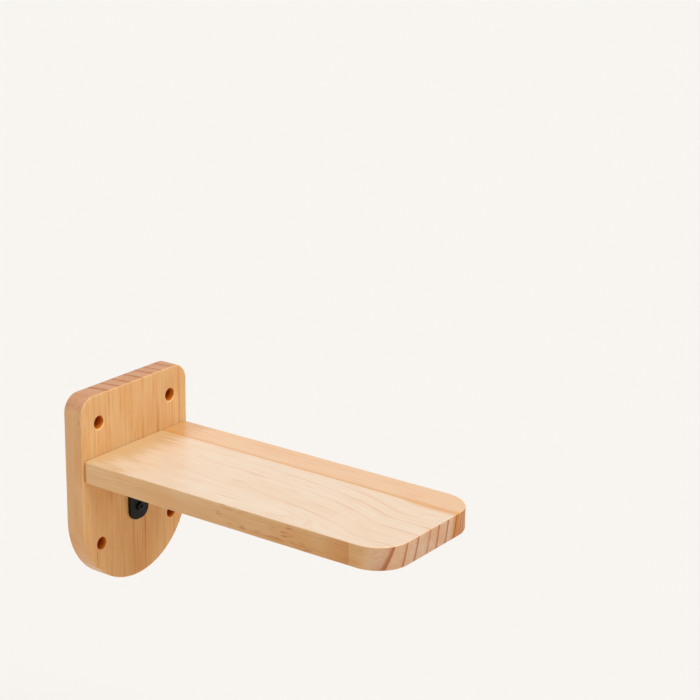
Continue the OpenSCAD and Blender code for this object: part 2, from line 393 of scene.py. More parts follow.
@dataclass(frozen=True)
class Pine(Finish):
    """Radiata pine, planed, sanded and clear lacquered.

    To the eye it is warm wood with wide rings, soft on their inner side and sharp on their outer one, fine
    fibres, short dark resin dashes and a satin gloss. The rings are circles about the pith, so that faces
    and ends agree.
    """

    name: str
    grain: Grain
    lacquer: Lacquer
    pith: tuple[float, float]
    rings: tuple[float, ...]
    vigour: Steps
    cut_vigour: Steps
    broad: Tone
    edge: Tone
    end: Tone
    resin: Resin
    low_end: tuple[float, float] = (0.12, 0.57)
    high_end: tuple[float, float] = (0.12, 0.57)
    sweep: Sweep | None = None
    border: Border | None = None
    pitch: Pitch | None = None
    sanding: Sanding | None = None
    joint: Joint | None = None
    pauses: float = 0.3
    fibre: float = 1.0
    wobble: float = 2.5
    roughness: tuple[float, float] = (0.42, 0.32)

    def surface(self, tree: Tree) -> Source:
        """Adds the nodes of the wood and its lacquer.

        Args:
            tree: Tree of the material.

        Returns:
            The shader.
        """
        film, gloss = self.lacquer.value
        cut = self._cut(tree)
        threads = THREADS.draw(tree, cut.place)
        late = self._late_wood(cut)
        colour = self._tone(cut, late)
        colour = self._fibres(cut, colour, threads)
        colour = self._canals(cut, colour)
        colour = self._marks(cut, colour)
        satin = add_node(tree, "MapRange", (threads, *NOISE_RANGE, *self.roughness))
        rough = add_node(tree, "Math", (cut.end, END_ROUGHNESS, satin), operation="MULTIPLY_ADD")
        relief = add_node(tree, "Math", (late, LATE_RELIEF, threads), operation="MULTIPLY_ADD")
        bump = add_node(tree, "Bump", {"Strength": 0.3, "Distance": 0.05 * MM, "Height": relief})
        wood = {"Base Color": colour, "Roughness": rough, "Normal": bump, "IOR": 1.5}
        coat = {"Specular IOR Level": gloss, "Coat Weight": film, "Coat Roughness": 0.28}
        return add_node(tree, "BsdfPrincipled", wood | coat)

    def share(self, radius: float) -> float:
        """Place of a distance from the pith between the innermost and the outermost ring, from 0 to 1."""
        return (radius - self.rings[0]) / (self.rings[-1] - self.rings[0])

    def _cut(self, tree: Tree) -> Cut:
        """Finds the place in the wood and the kind of cut.

        Args:
            tree: Tree of the material.

        Returns:
            Sources that the other steps share.
        """
        where = add_node(tree, "TexCoord").outputs
        turn = {"Vector": where["Object"], "Rotation": self.grain.value, "Scale": (1 / MM, 1 / MM, 1 / MM)}
        place = self._bend(tree, add_node(tree, "Mapping", turn))
        split = add_node(tree, "SeparateXYZ", (place,)).outputs
        broad, end = self._faces(tree, where["Normal"])
        return Cut(tree, place, split["X"], split["Z"], self._radius(tree, place), broad, end)

    def _faces(self, tree: Tree, normal: Source) -> tuple[Source, Source]:
        """Tells the board's broad faces and cut ends from its long edges, by which way the surface looks.

        Args:
            tree: Tree of the material.
            normal: Normal of the surface.

        Returns:
            Share of broad face and share of cut end, each from 0 to 1.
        """
        turn = {"Vector": normal, "Rotation": self.grain.value}
        turned = add_node(tree, "Mapping", turn, vector_type="VECTOR")
        way = add_node(tree, "SeparateXYZ", (turned,)).outputs
        flat = add_node(tree, "Math", (way["Y"],), operation="ABSOLUTE")
        back = add_node(tree, "Math", (way["Z"], -1.0), operation="MULTIPLY")
        limits = ((flat, BROAD_FROM), (flat, NARROW_FROM), (way["Z"], self.high_end), (back, self.low_end))
        broad, narrow, high, low = (
            add_node(tree, "MapRange", (value, *limit), interpolation_type="SMOOTHSTEP")
            for value, limit in limits
        )
        end = add_node(tree, "Math", (high, low), operation="MAXIMUM")
        return broad, add_node(tree, "Math", (end, narrow), operation="MULTIPLY")

    def _bend(self, tree: Tree, place: Source) -> Source:
        """Bends the fibres: a slow wobble, and the sweep of the board.

        Args:
            tree: Tree of the material.
            place: Millimetres across, through and along the board.

        Returns:
            Millimetres across, through and along the fibres.
        """
        side, through, along = add_node(tree, "SeparateXYZ", (place,)).outputs
        slow = WOBBLES.draw(tree, place)
        across = add_node(tree, "Math", (slow, self.wobble, side), operation="MULTIPLY_ADD")
        if self.sweep:
            sweep = self.sweep
            past = add_node(tree, "Math", (along, sweep.start), operation="SUBTRACT")
            begun = add_node(tree, "Math", (past, 0.0, sweep.soft), operation="SMOOTH_MAX")
            faded = add_node(tree, "Math", (begun, -sweep.fading), operation="DIVIDE")
            left = add_node(tree, "Math", (faded,), operation="EXPONENT")
            step = add_node(tree, "Math", (left, sweep.reach, -sweep.reach), operation="MULTIPLY_ADD")
            for limits in (sweep.from_side, sweep.to_side):
                part = add_node(tree, "MapRange", (side, *limits), interpolation_type="SMOOTHSTEP")
                step = add_node(tree, "Math", (step, part), operation="MULTIPLY")
            across = add_node(tree, "Math", (across, step), operation="ADD")
        return add_node(tree, "CombineXYZ", (across, through, along))

    def _radius(self, tree: Tree, place: Source) -> Source:
        """Distance from the pith.

        Args:
            tree: Tree of the material.
            place: Millimetres across, through and along the fibres.

        Returns:
            The distance as a share, from the innermost to the outermost ring.
        """
        section = add_node(tree, "VectorMath", (place, (1, 1, 0)), operation="MULTIPLY")
        centre = (self.pith[0] + self.wobble / 2, self.pith[1], 0.0)
        radius = add_node(tree, "VectorMath", (section, centre), operation="DISTANCE")
        return add_node(tree, "MapRange", (radius, self.rings[0], self.rings[-1]))

    def _late_wood(self, cut: Cut) -> Source:
        """Share of late wood, from 0 to 1: the rings, or the fine lines between them if they are darker."""
        lines = (self._rings(cut), self._pauses(cut))
        return add_node(cut.tree, "Math", lines, operation="MAXIMUM")

    def _rings(self, cut: Cut) -> Source:
        """Lines of the rings: the distance from the pith counts rings, and each darkens towards its outside.

        On the broad faces only a ring's darkest part shows, as a thin line that fades in and out along the
        fibres. At the cut ends the rings show in full.

        Args:
            cut: Shared sources.

        Returns:
            Share from 0, early wood, to 1, late wood.
        """
        tree, radius = cut.tree, {"Value": cut.radius}
        count = len(self.rings) - 1
        counted = [(self.share(ring), i / count) for i, ring in enumerate(self.rings)]
        aged = add_node(tree, "FloatCurve", radius, points=counted)
        years = add_node(tree, "Math", (aged, count), operation="MULTIPLY")
        season = add_node(tree, "Math", (years,), operation="FRACT")
        stops = [(part, (dark, dark, dark, 1)) for part, dark in SEASONS]
        ring = add_node(tree, "ValToRGB", (season,), stops=stops)
        thin = add_node(tree, "Math", (cut.broad, THINNING, 1.0), operation="MULTIPLY_ADD")
        line = add_node(tree, "Math", (ring, thin), operation="POWER")
        vigour, cut_vigour = (
            add_node(tree, "FloatCurve", radius, points=[(self.share(place), dark) for place, dark in curve])
            for curve in (self.vigour, self.cut_vigour)
        )
        strength = BREAKS.amount(tree, cut.place, FAINTEST)
        if self.sweep:
            near, far = (self.sweep.start + off for off in self.sweep.weaker)
            fresh = add_node(tree, "MapRange", (cut.along, near, far, 1.0, self.sweep.left))
            vigour = add_node(tree, "Math", (vigour, fresh), operation="MULTIPLY")
        broken = add_node(tree, "Math", (vigour, strength), operation="MULTIPLY")
        shown = add_node(tree, "Mix", (cut.end, broken, cut_vigour))
        return add_node(tree, "Math", (line, shown), operation="MULTIPLY")

    def _pauses(self, cut: Cut) -> Source:
        """Fine lines between the rings, where growth paused, on long faces and at the dense side's cut end.

        Args:
            cut: Shared sources.

        Returns:
            Share from 0, early wood, to 1, late wood.
        """
        tree = cut.tree
        span = add_node(tree, "Math", (cut.radius, self.rings[-1] - self.rings[0]), operation="MULTIPLY")
        grown = add_node(tree, "CombineXYZ", {"X": span, "Z": cut.along})
        fine = PAUSES.amount(tree, grown)
        shown = add_node(tree, "Math", (cut.end, -self.pauses, self.pauses), operation="MULTIPLY_ADD")
        if self.border:
            ring = self.share(self.border.ring)
            dense = add_node(tree, "Math", (cut.radius, ring), operation="GREATER_THAN")
            tight = add_node(tree, "Math", (dense, cut.end), operation="MULTIPLY")
            shown = add_node(tree, "Math", (shown, tight), operation="MAXIMUM")
        return add_node(tree, "Math", (fine, shown), operation="MULTIPLY")

    def _tone(self, cut: Cut, late: Source) -> Source:
        """Early-wood and late-wood colour of the cut, mixed by the rings.

        Args:
            cut: Shared sources.
            late: Share of late wood.

        Returns:
            The colour.
        """
        tones = []
        for season in ("early", "late"):
            edge, face, end = (linear(getattr(tone, season)) for tone in (self.edge, self.broad, self.end))
            long_grain = add_node(cut.tree, "Mix", (cut.broad, edge, face), data_type="RGBA")
            tones.append(add_node(cut.tree, "Mix", (cut.end, long_grain, end), data_type="RGBA"))
        return add_node(cut.tree, "Mix", (late, *tones), data_type="RGBA")

    def _fibres(self, cut: Cut, colour: Source, threads: Source) -> Source:
        """Lays fine fibres, drifts of shade and, on broad faces, short pale orange dashes over the colour.

        Args:
            cut: Shared sources.
            colour: Colour under them.
            threads: Pattern of the fibres.

        Returns:
            The colour.
        """
        tree = cut.tree
        calm = (cut.broad, FIBRE_SHADE * (self.fibre - 1), FIBRE_SHADE)
        shown = add_node(tree, "Math", calm, operation="MULTIPLY_ADD")
        for pattern, share, shades in (
            (threads, shown, THREAD_SHADES),
            (DRIFTS.draw(tree, cut.place), shown, DRIFT_SHADES),
            (DASHES.draw(tree, cut.place), cut.broad, DASH_SHADES),
        ):
            stops = [(value, linear(shade)) for value, shade in shades]
            layer = add_node(tree, "ValToRGB", (pattern,), stops=stops)
            colour = add_node(tree, "Mix", (share, colour, layer), data_type="RGBA", blend_type="MULTIPLY")
        return colour

    def _canals(self, cut: Cut, colour: Source) -> Source:
        """Lays resin canals over the colour: dark dashes in drifts, which are specks at a cut end.

        Args:
            cut: Shared sources.
            colour: Colour under them.

        Returns:
            The colour.
        """
        tree, resin = cut.tree, self.resin
        shown = CANALS.amount(tree, cut.place, inside=resin.strength)
        gather = GATHERINGS.amount(tree, cut.place)
        bare = add_node(tree, "Math", (cut.broad, -resin.hidden, 1.0), operation="MULTIPLY_ADD")
        gone, full = resin.reach + resin.fade, resin.reach - resin.fade
        stretch = self._near(tree, cut.along, resin.middle, gone, full)
        pores = add_node(tree, "Math", (cut.end, resin.pores), operation="MULTIPLY")
        near = add_node(tree, "Math", (stretch, pores), operation="MAXIMUM")
        for share in (gather, bare, near):
            shown = add_node(tree, "Math", (shown, share), operation="MULTIPLY")
        return add_node(tree, "Mix", (shown, colour, linear(resin.tint)), data_type="RGBA")

    def _near(self, tree: Tree, way: Source, middle: float, gone: float, full: float) -> Source:
        """Share that fades with the distance from a place.

        Args:
            tree: Tree of the material.
            way: Place along one axis.
            middle: Place that the distance is counted from.
            gone: Distance from which on the share is 0.
            full: Distance up to which the share is 1.

        Returns:
            Share from 0 to 1.
        """
        off = add_node(tree, "Math", (way, middle), operation="SUBTRACT")
        away = add_node(tree, "Math", (off,), operation="ABSOLUTE")
        return add_node(tree, "MapRange", (away, gone, full))

    def _marks(self, cut: Cut, colour: Source) -> Source:
        """Adds this one board's marks: pitch, dense side, sanded corner and painted shade at the joint.

        Args:
            cut: Shared sources.
            colour: Colour under them.

        Returns:
            The colour.
        """
        tree = cut.tree
        marks = [*self._pitch_streak(cut), *self._sanded_corner(cut), *self._shade_at_joint(cut)]
        if self.border:
            border = self.border
            shades = zip(border.edges, ("#ffffff", border.line, border.line, border.beyond))
            stops = [(self.share(border.ring + edge), linear(shade)) for edge, shade in shades]
            marks.append((1.0, add_node(tree, "ValToRGB", (cut.radius,), stops=stops)))
        for amount, tint in marks:
            colour = add_node(tree, "Mix", (amount, colour, tint), data_type="RGBA", blend_type="MULTIPLY")
        return colour

    def _pitch_streak(self, cut: Cut) -> list[tuple[Source, tuple]]:
        """Streak of pitch on the broad faces.

        Args:
            cut: Shared sources.

        Returns:
            Its amount and tint, or nothing.
        """
        if not self.pitch:
            return []
        pitch, shown = self.pitch, cut.broad
        for way, middle, reach in (
            (cut.across, pitch.across, pitch.half_width),
            (cut.along, pitch.along, pitch.half_length),
        ):
            near = self._near(cut.tree, way, middle, reach, 0.0)
            shown = add_node(cut.tree, "Math", (shown, near), operation="MULTIPLY")
        return [(shown, linear(pitch.tint))]

    def _sanded_corner(self, cut: Cut) -> list[tuple[Source, tuple]]:
        """Long edge beside the sanded corner: a darker run before it, and a warm tint that grows towards it.

        Args:
            cut: Shared sources.

        Returns:
            Amounts and tints, or nothing.
        """
        if not self.sanding:
            return []
        tree, sanding = cut.tree, self.sanding
        # The darker run is partly a darker patch of the wood and partly painted shade for a kink where the
        # corner begins.
        run = (cut.along, sanding.start + sanding.run, sanding.start, 0.0, sanding.strength)
        patch = add_node(tree, "MapRange", run)
        side = add_node(tree, "Math", (cut.along, sanding.start), operation="GREATER_THAN")
        before = add_node(tree, "Math", (patch, side), operation="MULTIPLY")
        edge_darkening = add_node(tree, "MapRange", (cut.along, sanding.edge_darkening_from, sanding.start))
        faces = add_node(tree, "Math", (cut.broad, cut.end), operation="MAXIMUM")
        narrow = add_node(tree, "Math", (1.0, faces), operation="SUBTRACT")
        return [
            (add_node(tree, "Math", (amount, narrow), operation="MULTIPLY"), linear(tint))
            for amount, tint in ((before, sanding.tint), (edge_darkening, sanding.edge_darkening))
        ]

    def _shade_at_joint(self, cut: Cut) -> list[tuple[Source, tuple]]:
        """Painted shade at the joint: a ragged band on the broad faces, and the seam of painted contact
        shadow.

        Args:
            cut: Shared sources.

        Returns:
            Amounts and tints, or nothing.
        """
        if not self.joint:
            return []
        tree, joint = cut.tree, self.joint
        # The band is painted shade and painted reflection of the other board, the seam painted contact
        # shadow.
        pool, seam = ([joint.place + off for off in limits] for limits in (joint.pool, joint.seam))
        rags = (RAGS.draw(tree, cut.place), joint.ragged, cut.along)
        ragged = add_node(tree, "Math", rags, operation="MULTIPLY_ADD")
        spread = add_node(tree, "MapRange", (ragged, *pool), interpolation_type="SMOOTHSTEP")
        shaded_band = add_node(tree, "Math", (spread, cut.broad), operation="MULTIPLY")
        dark = add_node(tree, "MapRange", (cut.along, *seam, 0.0, joint.seam_strength))
        return [(shaded_band, linear(joint.shade_band_tint)), (dark, linear(joint.seam_tint))]


@dataclass(frozen=True)
class DrilledPine(Finish):
    """Bare pine that a bit has cut, with fine turns: painted shade darkens it from the lit mouth to the
    bottom.

    The painted shade grows between two places along Y, and shifts the pattern towards the dark tone at most
    by the shade shift. Both tones are darker and redder than the faces: partly bare end grain, partly painted
    shade.
    """

    name: str
    light: str
    dark: str
    turn: float = 0.7
    patch: float = 4.0
    shade_span: tuple[float, float] = (-18.0, -12.0)
    shade_shift: float = 0.45

    def surface(self, tree: Tree) -> Source:
        """Adds the nodes of the drilled wood.

        Args:
            tree: Tree of the material.

        Returns:
            The shader.
        """
        where = add_node(tree, "TexCoord").outputs["Object"]
        scale = tuple(1 / (size * MM) for size in (self.patch, self.turn, self.patch))
        turns = add_node(tree, "Mapping", {"Vector": where, "Scale": scale})
        bands = add_node(tree, "TexNoise", {"Vector": turns, "Scale": 1.0, "Detail": 3.0})
        # Painted shade: the tone darkens with depth into the hole.
        depth = add_node(tree, "SeparateXYZ", (where,)).outputs["Y"]
        start, full = (place * MM for place in self.shade_span)
        painted_shade = add_node(tree, "MapRange", (depth, start, full, 0.0, -self.shade_shift))
        shade = add_node(tree, "Math", (bands, painted_shade), operation="ADD")
        stops = [(0.05, linear(self.dark)), (0.6, linear(self.light))]
        colour = add_node(tree, "ValToRGB", (shade,), stops=stops)
        bump = add_node(tree, "Bump", {"Strength": 0.4, "Distance": 0.1 * MM, "Height": bands})
        bare = {"IOR": 1.5, "Specular IOR Level": 0.2, "Roughness": 0.75}
        return add_node(tree, "BsdfPrincipled", bare | {"Base Color": colour, "Normal": bump})


@dataclass(frozen=True)
class BlackCoat(Finish):
    """Black coat on steel: nearly black, with the orange peel of baked powder or the grain of black oxide."""

    name: str
    colour: str
    dust: str
    peel: float
    roughness: tuple[float, float]
    bump: float
    cloud: float = 12.0

    def surface(self, tree: Tree) -> Source:
        """Adds the nodes of the coat.

        Args:
            tree: Tree of the material.

        Returns:
            The shader.
        """
        where = {"Vector": add_node(tree, "TexCoord").outputs["Object"]}
        peel = add_node(tree, "TexNoise", where | {"Scale": 1 / (self.peel * MM), "Detail": 2.0})
        cloud = add_node(tree, "TexNoise", where | {"Scale": 1 / (self.cloud * MM), "Detail": 3.0})
        stops = [(0.35, linear(self.colour)), (0.75, linear(self.dust))]
        colour = add_node(tree, "ValToRGB", (cloud,), stops=stops)
        satin = add_node(tree, "MapRange", (cloud, *NOISE_RANGE, *self.roughness))
        bump = add_node(tree, "Bump", {"Strength": self.bump, "Distance": 0.1 * MM, "Height": peel})
        coat = {"Base Color": colour, "Roughness": satin, "Normal": bump}
        return add_node(tree, "BsdfPrincipled", coat | {"IOR": 1.5, "Specular IOR Level": 0.15})


@dataclass(frozen=True)
class ZincPlate(Finish):
    """Bright zinc on a steel screw: pale bluish metal with a faint straw tint and fine scratches."""

    name: str = "zinc_plated_steel"
    cool: str = "#c3c8cc"
    straw: str = "#cfc8b4"
    cloud: float = 4.0
    scratch: float = 0.6
    roughness: tuple[float, float] = (0.22, 0.42)

    def surface(self, tree: Tree) -> Source:
        """Adds the nodes of the zinc.

        Args:
            tree: Tree of the material.

        Returns:
            The shader.
        """
        where = {"Vector": add_node(tree, "TexCoord").outputs["Object"]}
        tint = add_node(tree, "TexNoise", where | {"Scale": 1 / (self.cloud * MM), "Detail": 2.0})
        fine = add_node(tree, "TexNoise", where | {"Scale": 1 / (self.scratch * MM), "Detail": 3.0})
        stops = [(0.4, linear(self.cool)), (0.65, linear(self.straw))]
        colour = add_node(tree, "ValToRGB", (tint,), stops=stops)
        satin = add_node(tree, "MapRange", (fine, 0.0, 1.0, *self.roughness))
        return add_node(tree, "BsdfPrincipled", {"Metallic": 1.0, "Base Color": colour, "Roughness": satin})


@dataclass(frozen=True)
class Beech(Finish):
    """Bare turned beech: even pinkish brown with short dark ray flecks along the fibres."""

    name: str = "turned_beech"
    ground: str = "#cfa278"
    fleck: str = "#a8764c"
    fleck_width: float = 0.6
    fleck_length: float = 3.0

    def surface(self, tree: Tree) -> Source:
        """Adds the nodes of the beech.

        Args:
            tree: Tree of the material.

        Returns:
            The shader.
        """
        where = add_node(tree, "TexCoord").outputs["Object"]
        scale = tuple(1 / (size * MM) for size in (self.fleck_width, self.fleck_length, self.fleck_width))
        along = add_node(tree, "Mapping", {"Vector": where, "Scale": scale})
        rays = add_node(tree, "TexNoise", {"Vector": along, "Scale": 1.0, "Detail": 2.0})
        stops = [(0.55, linear(self.ground)), (0.7, linear(self.fleck))]
        colour = add_node(tree, "ValToRGB", (rays,), stops=stops)
        bump = add_node(tree, "Bump", {"Strength": 0.2, "Distance": 0.1 * MM, "Height": rays})
        bare = {"IOR": 1.5, "Roughness": 0.65}
        return add_node(tree, "BsdfPrincipled", bare | {"Base Color": colour, "Normal": bump})


@dataclass(frozen=True)
class PaleFloor(Finish):
    """Matt floor: pale to the eye, dimmer and warmer as a bounce, and clear from below."""

    name: str = "pale_floor"
    tone: str = "#e5e2de"
    bounce: str = "#f0d8b8"

    def surface(self, tree: Tree) -> Source:
        """Adds the nodes of the floor.

        Args:
            tree: Tree of the material.

        Returns:
            The shader.
        """
        tones = (linear(self.bounce), linear(self.tone))
        colour = add_node(tree, "Mix", (seen(tree), *tones), data_type="RGBA")
        cover = add_node(tree, "BsdfDiffuse", {"Color": colour})
        below = add_node(tree, "NewGeometry").outputs["Backfacing"]
        return add_node(tree, "MixShader", (below, cover, add_node(tree, "BsdfTransparent")))


def rounded_rectangle(
    low: tuple[float, float], high: tuple[float, float], radii: tuple[float, ...], step: float
) -> tuple[np.ndarray, np.ndarray]:
    """Closed outline of a rectangle with a radius of its own at each corner.

    Each corner is a quarter circle about a centre set in by its radius. Even steps fill the straight runs.

    Args:
        low: Lowest corner.
        high: Highest corner.
        radii: Radii from the lowest corner on, counter-clockwise.
        step: Longest distance between two points.

    Returns:
        Points and their outward normals, counter-clockwise.
    """
    inward = np.array([(1, 1), (-1, 1), (-1, -1), (1, -1)])
    corners = np.array([low, (high[0], low[1]), high, (low[0], high[1])])
    centres = corners + inward * np.array(radii)[:, None]
    arcs, rays = [], []
    for i, radius in enumerate(radii):
        count = max(FEWEST_CORNER_POINTS, math.ceil(radius * math.pi / 2 / step) + 1)
        angle = math.pi * (1 + i / 2) + np.linspace(0, math.pi / 2, count)
        ray = np.stack([np.cos(angle), np.sin(angle)], axis=-1)
        arcs.append(centres[i] + radius * ray)
        rays.append(ray)
    points, normals = [], []
    for i in range(4):
        run = arcs[(i + 1) % 4][0] - arcs[i][-1]
        gap = float(np.linalg.norm(run))
        share = np.linspace(0, 1, max(1, math.ceil(gap / step)), endpoint=False)[1:, None]
        last = None if gap > NO_LENGTH else -1
        points += [arcs[i][:last], arcs[i][-1] + share * run]
        normals += [rays[i][:last], np.repeat(rays[i][-1:], len(share), axis=0)]
    return np.vstack(points), np.vstack(normals)


def fill_flat(loop: np.ndarray, holes: list[np.ndarray], inner: np.ndarray) -> tuple[np.ndarray, np.ndarray]:
    """Triangles of a flat face with round holes: a Delaunay net between the loops, less what lies in a hole.

    Args:
        loop: Points round the face.
        holes: Points round each hole.
        inner: Points inside the face that the net has to use.

    Returns:
        Points of the net and its triangles.
    """
    loops = [loop, *holes]
    starts = np.cumsum([0] + [len(part) for part in loops])
    edges = np.vstack(
        [
            start + np.stack([np.arange(len(part)), np.roll(np.arange(len(part)), -1)], axis=-1)
            for start, part in zip(starts, loops)
        ]
    )
    cloud = np.vstack([*loops, inner])
    net = geometry.delaunay_2d_cdt(cloud.tolist(), edges.tolist(), [list(range(len(loop)))], 1, NET_GAP)
    points, triangles = np.array(net[0]), np.array(net[2])
    middle = points[triangles].mean(axis=1)
    solid = np.ones(len(triangles), bool)
    for hole in holes:
        centre = hole.mean(axis=0)
        solid &= np.linalg.norm(middle - centre, axis=1) > np.linalg.norm(hole[0] - centre) * WHOLE
    return points, triangles[solid]


@dataclass
class Skin:
    """Patches of one closed skin, which become one mesh."""

    name: str
    points: list[np.ndarray] = field(default_factory=list)
    faces: list[np.ndarray] = field(default_factory=list)
    finishes: list[np.ndarray] = field(default_factory=list)

    def add(self, points: np.ndarray, faces: np.ndarray, finish: int) -> None:
        """Adds a patch.

        Args:
            points: Points in the part's frame.
            faces: Rows of point numbers, three or four to a face.
            finish: Number of the material.
        """
        before = sum(len(part) for part in self.points)
        self.points.append(points)
        self.faces.append(faces + before)
        self.finishes.append(np.full(len(faces), finish))

    def add_grid(self, rows: np.ndarray, kept: np.ndarray, finish: int) -> None:
        """Adds a grid surface that closes on itself along its columns.

        Args:
            rows: Points by row and column.
            kept: Which of the cells between two rows are there.
            finish: Number of the material.
        """
        number = np.arange(rows.shape[0] * rows.shape[1]).reshape(rows.shape[:2])
        beside = np.roll(number, -1, axis=1)
        cells = np.stack([number[:-1], beside[:-1], beside[1:], number[1:]], axis=-1)
        self.add(rows.reshape(-1, 3), cells[kept], finish)

    def make(self, materials: list[bpy.types.Material]) -> bpy.types.Object:
        """Makes the mesh: patches are joined where they meet, faces look outwards, only creases stay sharp.

        Args:
            materials: Materials by number.

        Returns:
            The piece, which rides on the part's body.
        """
        mesh = bpy.data.meshes.new(self.name)
        faces = [face for part in self.faces for face in part.tolist()]
        mesh.from_pydata((np.vstack(self.points) * MM).tolist(), [], faces)
        mesh.polygons.foreach_set("material_index", np.concatenate(self.finishes).astype(np.int32))
        form = bmesh.new()
        form.from_mesh(mesh)
        bmesh.ops.remove_doubles(form, verts=form.verts, dist=NO_LENGTH)
        bmesh.ops.recalc_face_normals(form, faces=form.faces)
        form.to_mesh(mesh)
        form.free()
        mesh.shade_smooth()
        mesh.set_sharp_from_angle(angle=CREASE)
        for material in materials:
            mesh.materials.append(material)
        piece = bpy.data.objects.new(self.name, mesh)
        bpy.context.scene.collection.objects.link(piece)
        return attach(piece, "root")


@dataclass(frozen=True)
class Bore:
    """Round hole square to a face: steps of radius and height, of which the first few are eased."""

    centre: tuple[float, float]
    steps: Steps
    eased: int = 0

    def circle(self, radius: float) -> np.ndarray:
        """Points of a circle of that radius round the bore's centre."""
        angle = np.linspace(0, 2 * math.pi, CIRCLE_POINTS, endpoint=False)
        return np.array(self.centre) + radius * np.stack([np.cos(angle), np.sin(angle)], axis=-1)

    def rows(self) -> np.ndarray:
        """Surface of revolution: each step of the profile carried round the centre."""
        rings = [(self.circle(radius), np.full(CIRCLE_POINTS, height)) for radius, height in self.steps]
        return np.stack([np.column_stack(ring) for ring in rings])


@dataclass(frozen=True)
class Slab:
    """Flat piece of even thickness with a rounded outline, rounded edges and bores.

    Its own axes are a and b in its plane and c through it, from its back face at 0 to its front face.
    The side at the highest b may be a butt, which has sharper edges and bores of its own along b.
    The two corners of a butt are its heels. Towards them the long edges grow rounder.
    """

    low: tuple[float, float]
    high: tuple[float, float]
    corners: tuple[float, float, float, float]
    thickness: float
    edge: float
    step: float
    bores: tuple[Bore, ...] = ()
    butt_edge: float | None = None
    butt_bores: tuple[Bore, ...] = ()
    heel_edge: float = 0.0
    heel_run: float = 80.0
    heel_fade: float = 6.0
    wander: float = 0.0
    edge_steps: int = 6
    rim_finish: int = FACE
    mouth_finish: int = FACE

    def edges(self, points: np.ndarray) -> np.ndarray:
        """Radius of the rounded edge round the outline: it wanders a little, as sanding by hand leaves it.

        Two slow sine waves over the plane, added up, make it wander.

        Args:
            points: Points of the outline.

        Returns:
            A radius for each point.
        """
        waves = np.sin(points @ (1 / np.array(WAVES)).T).sum(axis=1)
        radius = self.edge * (1 + self.wander * waves)
        if self.butt_edge is None:
            return radius
        near = np.clip(1 + (points[:, 1] - self.high[1]) / self.heel_run, 0, 1)
        inside = np.clip((self.high[0] - self.corners[2] - np.abs(points[:, 0])) / self.heel_fade, 0, 1)
        butt = self.heel_edge * (1 - inside) + self.butt_edge * inside
        return radius * (1 - near) + butt * near

    def cover(self, skin: Skin, place: Place, inner: np.ndarray = NO_POINTS) -> None:
        """Adds the slab's whole surface to a skin.

        The rim is a profile carried round the outline: a land on the back face, a quarter round, the wall,
        a quarter round and a land on the front face. Flat nets and bores close it.

        Args:
            skin: Skin that the patches go into.
            place: Turns the slab's own points into the part's frame.
            inner: Points in the plane that both flat nets have to use.
        """
        points, normals = rounded_rectangle(self.low, self.high, self.corners, self.step)
        edge = self.edges(points)
        turn = np.linspace(0, math.pi / 2, self.edge_steps + 1)[:, None]
        rise = np.vstack([0 * edge, edge * (1 - np.cos(turn))])
        inset = np.vstack([edge + LAND, edge * (1 - np.sin(turn))])
        height = np.vstack([rise, self.thickness - rise[::-1]])
        inset = np.vstack([inset, inset[::-1]])[..., None]
        rim = np.dstack([points - inset * normals, height])
        kept = np.ones((len(rim) - 1, len(points)), bool)
        wall = self.edge_steps + 1
        butt = np.flatnonzero((normals[:, 1] > WHOLE) & (self.butt_edge is not None))
        kept[wall, butt[:-1]] = False
        row = np.arange(len(kept))[:, None]
        outer = np.abs(row - wall) <= self.edge_steps // 2
        skin.add_grid(place(rim), kept & ~outer, FACE)
        skin.add_grid(place(rim), kept & outer, self.rim_finish)
        for height, loop, step in ((0.0, rim[0], -1), (self.thickness, rim[-1], 0)):
            opened = [bore for bore in self.bores if bore.steps[step][1] == height]
            net, faces = fill_flat(loop[:, :2], [bore.circle(bore.steps[step][0]) for bore in opened], inner)
            skin.add(place(np.column_stack([net, np.full(len(net), height)])), faces, FACE)
        if len(butt):
            loop = np.vstack([rim[wall, butt], rim[wall + 1, butt[::-1]]])
            holes = [bore.circle(bore.steps[0][0]) for bore in self.butt_bores]
            net, faces = fill_flat(loop[:, [0, 2]], holes, NO_POINTS)
            end = np.column_stack([net[:, 0], np.full(len(net), self.high[1]), net[:, 1]])
            skin.add(place(end), faces, FACE)
        for bore in self.bores:
            self._line(skin, bore, place, bore.rows())
        for bore in self.butt_bores:
            rows = bore.rows()[..., [0, 2, 1]]
            self._line(skin, bore, place, rows + np.array([0, self.high[1], 0]))

    def _line(self, skin: Skin, bore: Bore, place: Place, rows: np.ndarray) -> None:
        """Adds a bore's wall: its eased mouth in the mouth's finish and the rest in the drilled one."""
        for part, finish in ((rows[: bore.eased + 1], self.mouth_finish), (rows[bore.eased :], BORE)):
            skin.add_grid(place(part), np.ones((len(part) - 1, part.shape[1]), bool), finish)


def node_box(name: str) -> tuple[np.ndarray, np.ndarray]:
    """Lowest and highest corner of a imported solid, in millimetres to three places."""
    low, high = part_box(name)
    return np.round(np.array(low) / MM, 3), np.round(np.array(high) / MM, 3)


